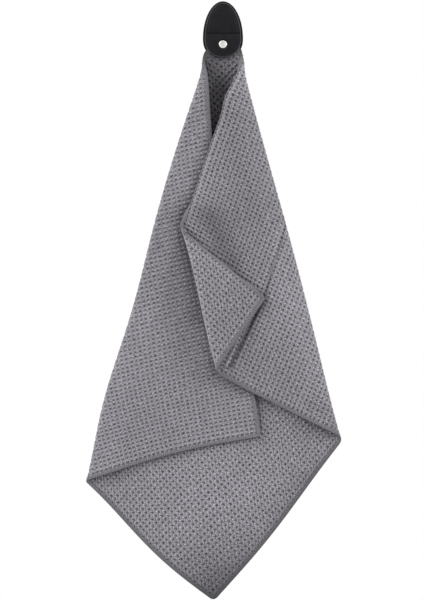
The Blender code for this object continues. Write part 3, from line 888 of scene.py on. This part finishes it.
def weave_tone(tree, sheet):
    """How light the weave is, with painted shade in its pits and painted light on the yarns that float over
    them.
    """
    strayed = strayed_place(tree, sheet)
    ridge_u = wave(tree, strayed["X"], LONG_PITCH)
    ridge_v = wave(tree, strayed["Y"], SHORT_PITCH)
    low_u, low_v = maths(tree, "SUBTRACT", 1.0, ridge_u), maths(tree, "SUBTRACT", 1.0, ridge_v)
    pit = maths(tree, "POWER", maths(tree, "MULTIPLY", low_u, low_v), 1.5)
    float_u = maths(tree, "MULTIPLY", maths(tree, "POWER", ridge_u, 4.0), low_v)
    float_v = maths(tree, "MULTIPLY", maths(tree, "POWER", ridge_v, 4.0), low_u)
    # Painted light: the yarns that float along the ridges are lighter, unevenly from cell to cell.
    uneven = noise(tree, sheet, 230.0, 2.0)
    lift = maths(tree, "MULTIPLY_ADD", uneven, 2.2, -0.1)
    floats = maths(tree, "MULTIPLY", maths(tree, "ADD", float_u, float_v), lift)
    tone = maths(tree, "MULTIPLY_ADD", floats, FLOAT_HIGHLIGHT, 0.5)
    # Painted shade: the pits are darker, unevenly from cell to cell.
    pit_shading = maths(tree, "MULTIPLY", noise(tree, sheet, 170.0, 1.0), PIT_SHADE)
    tone = maths(tree, "SUBTRACT", tone, maths(tree, "MULTIPLY", pit, pit_shading))
    # Each cell's pile lies in slanting strokes, two to a cell.
    turns_u = maths(tree, "MULTIPLY", strayed["X"], 2 * 2 * pi / LONG_PITCH)
    turns_v = maths(tree, "MULTIPLY", strayed["Y"], 2 * pi / SHORT_PITCH)
    strokes = maths(tree, "COSINE", maths(tree, "ADD", turns_u, turns_v))
    tone = maths(tree, "MULTIPLY_ADD", strokes, maths(tree, "MULTIPLY", uneven, STROKE_LIFT), tone)
    specks = maths(tree, "SUBTRACT", noise(tree, sheet, 560.0, 1.5), 0.5)
    return maths(tree, "MULTIPLY_ADD", specks, SPECK_LIFT, tone)


def waffle_material():
    made, tree, shader = node_material("grey_waffle_microfibre")
    sheet = sheet_place(tree)
    base = colour_ramp(tree, weave_tone(tree, sheet), list(zip((0.0, 0.5, 1.0), PILE)))
    tint = colour_ramp(tree, noise(tree, sheet, 45.0), [(0.3, (0.9, 0.9, 0.9)), (0.7, WHITE)])
    base = shaded_hollows(tree, mix_colour(tree, 1.0, base, tint, "MULTIPLY"))
    tree.links.new(base, shader.inputs["Base Color"])
    fibres = noise(tree, sheet, 2600.0, 2.0)
    tree.links.new(bump(tree, fibres, 0.35, 0.4 * MM), shader.inputs["Normal"])
    shader.inputs["Roughness"].default_value = 0.95
    shader.inputs["Sheen Weight"].default_value = 0.35
    shader.inputs["Sheen Roughness"].default_value = 0.5
    shader.inputs["Specular IOR Level"].default_value = 0.2
    return made


def thread_material(name, lightness, edge_shade_tone):
    """Sewing thread. The edge shade tone paints shade along a band's two edges, in the grooves where the
    threads pull in.
    """
    made, tree, shader = node_material(name)
    sheet = sheet_place(tree)
    split = split_xyz(tree, sheet)
    # The threads lie side by side across the band, a little slanted.
    slanted = maths(tree, "MULTIPLY_ADD", split["Y"], 0.4, split["X"])
    fine = noise(tree, sheet, 700.0, 4.0)
    strands = maths(tree, "MULTIPLY_ADD", wave(tree, slanted, THREAD_PITCH), 0.35, fine)
    dark = tuple(c * lightness for c in THREAD_DARK)
    light = tuple(c * lightness for c in THREAD_LIGHT)
    base = colour_ramp(tree, strands, [(0.35, dark), (0.95, light)])
    # Painted shade along the band's two edges.
    from_middle = maths(tree, "DIVIDE", maths(tree, "ABSOLUTE", split["Y"]), BAND_WIDTH / 2)
    edge_shade = colour_ramp(tree, from_middle, [(0.5, WHITE), (0.85, (edge_shade_tone,) * 3)])
    base = shaded_hollows(tree, mix_colour(tree, 1.0, base, edge_shade, "MULTIPLY"))
    tree.links.new(base, shader.inputs["Base Color"])
    tree.links.new(bump(tree, strands, 0.4, 0.4 * MM), shader.inputs["Normal"])
    shader.inputs["Roughness"].default_value = 0.85
    shader.inputs["Sheen Weight"].default_value = 0.2
    return made


def leather_material():
    made, tree, shader = node_material("black_grained_leather")
    place = object_place(tree)
    grain = add_node(tree, "ShaderNodeTexVoronoi", feature="DISTANCE_TO_EDGE")
    grain.inputs["Scale"].default_value = 1500.0
    tree.links.new(place, grain.inputs["Vector"])
    creases = colour_ramp(tree, grain.outputs["Distance"], [(0.0, (0, 0, 0)), (0.12, WHITE)])
    swell = noise(tree, place, 260.0, 4.0)
    normal = bump(tree, creases, 0.25, 0.2 * MM)
    normal = bump(tree, swell, 0.2, 0.6 * MM, normal)
    tree.links.new(normal, shader.inputs["Normal"])
    base = colour_ramp(tree, swell, [(0.3, LEATHER_DARK), (0.75, LEATHER_LIGHT)])
    # Painted highlight along the rounded rim.
    base = mix_colour(tree, painted(tree, "painted_rim_highlight"), base, LEATHER_RIM_HIGHLIGHT)
    tree.links.new(base, shader.inputs["Base Color"])
    shader.inputs["Roughness"].default_value = 0.5
    shader.inputs["Specular IOR Level"].default_value = 0.22
    return made


def metal_material(name, colour, roughness):
    made, tree, shader = node_material(name)
    wear = noise(tree, object_place(tree), 900.0, 4.0)
    tone = tuple(c * 0.9 for c in colour)
    base = colour_ramp(tree, wear, [(0.3, tone), (0.7, colour)])
    tree.links.new(base, shader.inputs["Base Color"])
    rough = add_node(tree, "ShaderNodeMapRange")
    rough.inputs["To Min"].default_value = roughness * 0.8
    rough.inputs["To Max"].default_value = roughness * 1.3
    tree.links.new(wear, rough.inputs["Value"])
    tree.links.new(rough.outputs["Result"], shader.inputs["Roughness"])
    shader.inputs["Metallic"].default_value = 1.0
    return made


def foam_material():
    made, tree, shader = node_material("black_core_foam")
    cells = noise(tree, object_place(tree), 1800.0, 3.0)
    base = colour_ramp(tree, cells, [(0.3, FOAM_DARK), (0.7, FOAM_LIGHT)])
    tree.links.new(base, shader.inputs["Base Color"])
    tree.links.new(bump(tree, cells, 0.5, 0.4 * MM), shader.inputs["Normal"])
    shader.inputs["Roughness"].default_value = 0.9
    return made


def dress(obj, made):
    """Gives an object one material, on the object's own slot for a CAD node."""
    if not obj.material_slots:
        obj.data.materials.append(made)
    for spot in obj.material_slots:
        spot.link = "OBJECT"
        spot.material = made


# ---------------------------------------------------------------- camera, light and floor

VIEW_HEIGHT = 682 * MM  # what the picture takes in at the towel, from top to bottom
VIEW_DISTANCE = 4.0
VIEW_SHIFT = (-2.5 * MM, -0.8 * MM)  # right and up from the object's middle
SENSOR = 36.0
FLOOR_DROP = 0.35
FLOOR_RADIUS = 1.4
SOFTBOX_SIZE = 1.2
SOFTBOXES = {
    "softbox_left": ((-1.9, -0.8, 1.2), 47),  # place from the object's middle, and power in watts
    "softbox_right": ((2.0, -0.65, 1.0), 41),
}
# The studio's light from below, from above, and what its two sides add.
SKY_BELOW, SKY_ABOVE, SKY_BESIDE = 0.08, 0.66, 0.5
MIDDLE = (CAD_BOX[0] + CAD_BOX[1]) / 2


def make_camera():
    data = bpy.data.cameras.new("camera")
    data.sensor_width = SENSOR
    data.lens = SENSOR * VIEW_DISTANCE / VIEW_HEIGHT
    data.clip_end = 50.0
    camera = bpy.data.objects.new("camera", data)
    camera.location = MIDDLE + Vector((VIEW_SHIFT[0], -VIEW_DISTANCE, VIEW_SHIFT[1]))
    camera.rotation_euler = (pi / 2, 0, 0)
    bpy.context.scene.collection.objects.link(camera)
    bpy.context.scene.camera = camera


def make_light(name, place, power):
    data = bpy.data.lights.new(name, "AREA")
    data.size = SOFTBOX_SIZE
    data.energy = power
    lamp = bpy.data.objects.new(name, data)
    lamp.location = MIDDLE + Vector(place)
    lamp.rotation_euler = (MIDDLE - lamp.location).to_track_quat("-Z", "Y").to_euler()
    bpy.context.scene.collection.objects.link(lamp)


def make_floor():
    bpy.ops.mesh.primitive_circle_add(vertices=128, radius=FLOOR_RADIUS, fill_type="NGON")
    floor = bpy.context.active_object
    floor.name = "floor"
    floor.location = (0, 0, CAD_BOX[0].z - FLOOR_DROP)
    made, tree, shader = node_material("pale_floor")
    patches = noise(tree, object_place(tree), 3.0)
    tone = colour_ramp(tree, patches, [(0.3, (0.8, 0.8, 0.8)), (0.7, (0.84, 0.84, 0.84))])
    tree.links.new(tone, shader.inputs["Base Color"])
    shader.inputs["Roughness"].default_value = 0.9
    floor.data.materials.append(made)


def make_sky():
    """Soft light from all round, stronger from above and the sides, behind a plain white backdrop."""
    world = bpy.data.worlds.new("studio")
    bpy.context.scene.world = world
    world.use_nodes = True
    tree = world.node_tree
    sky = tree.nodes["Background"]
    sky.inputs["Color"].default_value = (*WHITE, 1)
    backdrop = add_node(tree, "ShaderNodeBackground")
    backdrop.inputs["Strength"].default_value = 1.0
    backdrop.inputs["Color"].default_value = (*WHITE, 1)
    ahead = split_xyz(tree, add_node(tree, "ShaderNodeTexCoord").outputs["Generated"])
    rising = add_node(tree, "ShaderNodeMapRange")
    rising.inputs["From Min"].default_value = -1.0
    rising.inputs["To Min"].default_value = SKY_BELOW
    rising.inputs["To Max"].default_value = SKY_ABOVE
    tree.links.new(ahead["Z"], rising.inputs["Value"])
    beside = maths(tree, "MULTIPLY", ahead["X"], ahead["X"])
    strength = maths(tree, "MULTIPLY_ADD", beside, SKY_BESIDE, rising.outputs["Result"])
    tree.links.new(strength, sky.inputs["Strength"])
    mix = add_node(tree, "ShaderNodeMixShader")
    path = add_node(tree, "ShaderNodeLightPath")
    tree.links.new(path.outputs["Is Camera Ray"], mix.inputs["Fac"])
    tree.links.new(sky.outputs["Background"], mix.inputs[1])
    tree.links.new(backdrop.outputs["Background"], mix.inputs[2])
    tree.links.new(mix.outputs["Shader"], tree.nodes["World Output"].inputs["Surface"])


# ---------------------------------------------------------------- build


make_camera()
make_floor()
make_sky()
for name, (place, power) in SOFTBOXES.items():
    make_light(name, place, power)
bpy.context.scene.view_settings.view_transform = "Standard"

WAFFLE = waffle_material()
BAND_THREAD = thread_material("grey_overlock_thread", 1.0, 0.68)
STITCH_THREAD = thread_material("grey_stitch_thread", 1.6, 1.0)
LEATHER = leather_material()
SNAP_METAL = metal_material("polished_snap_metal", (0.95, 0.94, 0.92), 0.5)
MAGNET_METAL = metal_material("nickel_magnet", (0.6, 0.6, 0.61), 0.35)
FOAM = foam_material()


def put(piece, made, body, node):
    """Gives a piece its material and the body it moves with, and hides the CAD node it stands for."""
    dress(piece, made)
    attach(piece, body)
    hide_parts(node)


cloth = make_cloth()
put(cloth, WAFFLE, "towel", "towel_cloth")

trims = []
for side, node in enumerate(("edge_inner_long", "edge_left_short", "edge_right_long", "edge_corner_short")):
    band = make_band(node.replace("edge", "overlocked_edge"), side)
    put(band, BAND_THREAD, "towel", node)
    stitches = make_stitches(node.replace("edge", "hem_stitches"), side)
    put(stitches, STITCH_THREAD, "towel", node)
    trims += [band, stitches]

cover = make_leaf("padded_leather_cover", True, COVER_LOW.y, COVER_HIGH.y, LEAF_LOW.y)
put(cover, LEATHER, "patch", "patch_front_cover")
flap = make_leaf("leather_snap_flap", False, FLAP_LOW.y, FLAP_HIGH.y, None)
put(flap, LEATHER, "flap", "patch_front_flap")
put(make_cap(), SNAP_METAL, "flap", "snap_cap")

# The CAD nodes whose shapes are right only need a material.
for node, made in (
    ("patch_back_leaf", LEATHER),
    ("snap_socket", SNAP_METAL),
    ("snap_stud", SNAP_METAL),
    ("snap_rivet", SNAP_METAL),
    ("magnet_disc", MAGNET_METAL),
    ("magnet_core", FOAM),
):
    dress(bpy.data.objects[node], made)
